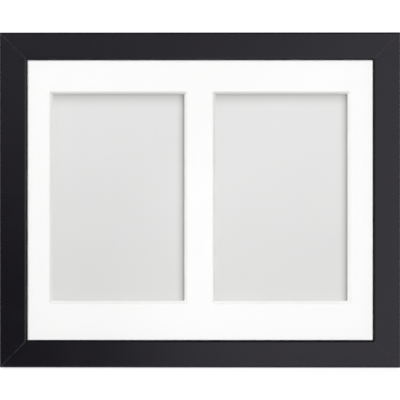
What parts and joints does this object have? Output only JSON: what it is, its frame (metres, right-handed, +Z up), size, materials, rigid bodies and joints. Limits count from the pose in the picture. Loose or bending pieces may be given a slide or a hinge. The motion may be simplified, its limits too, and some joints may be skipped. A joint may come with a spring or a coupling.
{
  "type": "collage photo frame",
  "caption": "Black mitred photo frame with a white window mat over blank prints, turn-button back and folding easel strut.",
  "frame": {"origin": "on the table, under the middle of the standing frame's bounding box, strut open", "axes": "+Z up, +X along the frame's width (to the right as seen from the front), +Y to the back, so the pictures face -Y and lean back from upright"},
  "size_m": [0.2698, 0.0846, 0.2237],
  "materials": {
    "black_moulding": "smooth satin black lacquer over wood moulding",
    "clear_glass": "clear flat picture glass",
    "white_mat": "white paper mat board, fine tooth",
    "blank_print": "blank grey print paper, semi-matte",
    "paper_tape": "gummed paper tape",
    "grey_card": "grey filler board",
    "fibre_board": "brown hardboard, smooth side out",
    "black_strut_board": "black-faced fibre board",
    "zinc_steel": "bright zinc-plated sheet and wire"
  },
  "bodies": {
    "frame": {"rail_bottom": "black_moulding", "rail_top": "black_moulding", "rail_left": "black_moulding", "rail_right": "black_moulding", "corner_v_nails": "zinc_steel", "glazing": "clear_glass", "window_mat": "white_mat", "print_left": "blank_print", "print_right": "blank_print", "print_tapes": "paper_tape", "filler_card": "grey_card", "backing_board": "fibre_board", "turn_button_screws": "zinc_steel", "sawtooth_hanger": "zinc_steel", "hanger_nails": "zinc_steel", "hinge_base": "zinc_steel", "hinge_base_rivets": "zinc_steel", "hinge_pin": "zinc_steel"},
    "strut": {"easel_strut": "black_strut_board", "hinge_leaf": "zinc_steel", "hinge_leaf_rivets": "zinc_steel"},
    "button_top_left": {"turn_button_top_left": "zinc_steel"},
    "button_top_right": {"turn_button_top_right": "zinc_steel"},
    "button_bottom_left": {"turn_button_bottom_left": "zinc_steel"},
    "button_bottom_right": {"turn_button_bottom_right": "zinc_steel"},
    "button_left": {"turn_button_left": "zinc_steel"},
    "button_right": {"turn_button_right": "zinc_steel"}
  },
  "joints": [
    {"name": "strut_fold", "type": "hinge", "parent": "frame", "child": "strut", "pos_m": [0, 0.00077, 0.12364], "axis": [1, 0, 0], "range_deg": [-30, 0]},
    {"name": "button_top_left_turn", "type": "hinge", "parent": "frame", "child": "button_top_left", "pos_m": [-0.06747, 0.01779, 0.2143], "axis": [0, 0.9781, -0.2079], "range_deg": [-90, 90]},
    {"name": "button_top_right_turn", "type": "hinge", "parent": "frame", "child": "button_top_right", "pos_m": [0.06747, 0.01779, 0.2143], "axis": [0, 0.9781, -0.2079], "range_deg": [-90, 90]},
    {"name": "button_bottom_left_turn", "type": "hinge", "parent": "frame", "child": "button_bottom_left", "pos_m": [-0.06747, -0.02639, 0.00645], "axis": [0, 0.9781, -0.2079], "range_deg": [-90, 90]},
    {"name": "button_bottom_right_turn", "type": "hinge", "parent": "frame", "child": "button_bottom_right", "pos_m": [0.06747, -0.02639, 0.00645], "axis": [0, 0.9781, -0.2079], "range_deg": [-90, 90]},
    {"name": "button_left_turn", "type": "hinge", "parent": "frame", "child": "button_left", "pos_m": [-0.12835, -0.0043, 0.11037], "axis": [0, 0.9781, -0.2079], "range_deg": [-90, 90]},
    {"name": "button_right_turn", "type": "hinge", "parent": "frame", "child": "button_right", "pos_m": [0.12835, -0.0043, 0.11037], "axis": [0, 0.9781, -0.2079], "range_deg": [-90, 90]}
  ]
}
